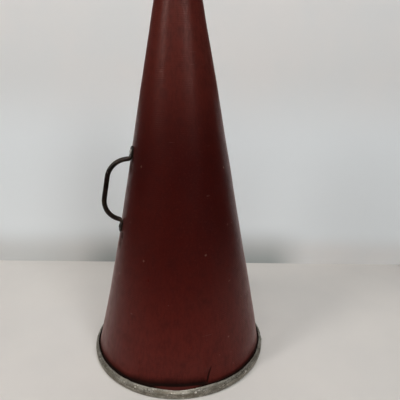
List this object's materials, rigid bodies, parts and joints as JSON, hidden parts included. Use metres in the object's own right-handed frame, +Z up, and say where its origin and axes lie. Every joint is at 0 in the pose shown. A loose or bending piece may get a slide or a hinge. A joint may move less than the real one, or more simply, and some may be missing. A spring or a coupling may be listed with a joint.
{
  "type": "acoustic megaphone",
  "caption": "Hand-held acoustic megaphone: a tapering fibre cone with a rolled metal bell rim, a round metal mouthpiece and a rigid bent-rod handle riveted to its side.",
  "frame": {"origin": "on the cone's axis, in the plane of the bell rim's underside that it stands on", "axes": "+Z up the cone's axis from the bell to the mouthpiece, -X towards the handle; the lap seam is 25 degrees round from +X towards +Y"},
  "size_m": [0.2552, 0.254, 0.508],
  "materials": {
    "fibre": "satin",
    "galvanised_sheet": "matte",
    "hoop_wire": "matte",
    "handle_steel": "satin",
    "rivet_steel": "satin"
  },
  "bodies": {
    "root": {"cone_shell": "fibre", "seam_rivets": "rivet_steel", "seam_burrs": "rivet_steel", "bell_rim": "galvanised_sheet", "rim_wire": "hoop_wire", "rim_rivets": "rivet_steel", "handle": "handle_steel", "handle_rivet_upper": "rivet_steel", "handle_rivet_lower": "handle_steel", "handle_burr_upper": "rivet_steel", "handle_burr_lower": "rivet_steel", "mouthpiece_ferrule": "galvanised_sheet", "mouthpiece_tacks": "rivet_steel"}
  },
  "joints": []
}
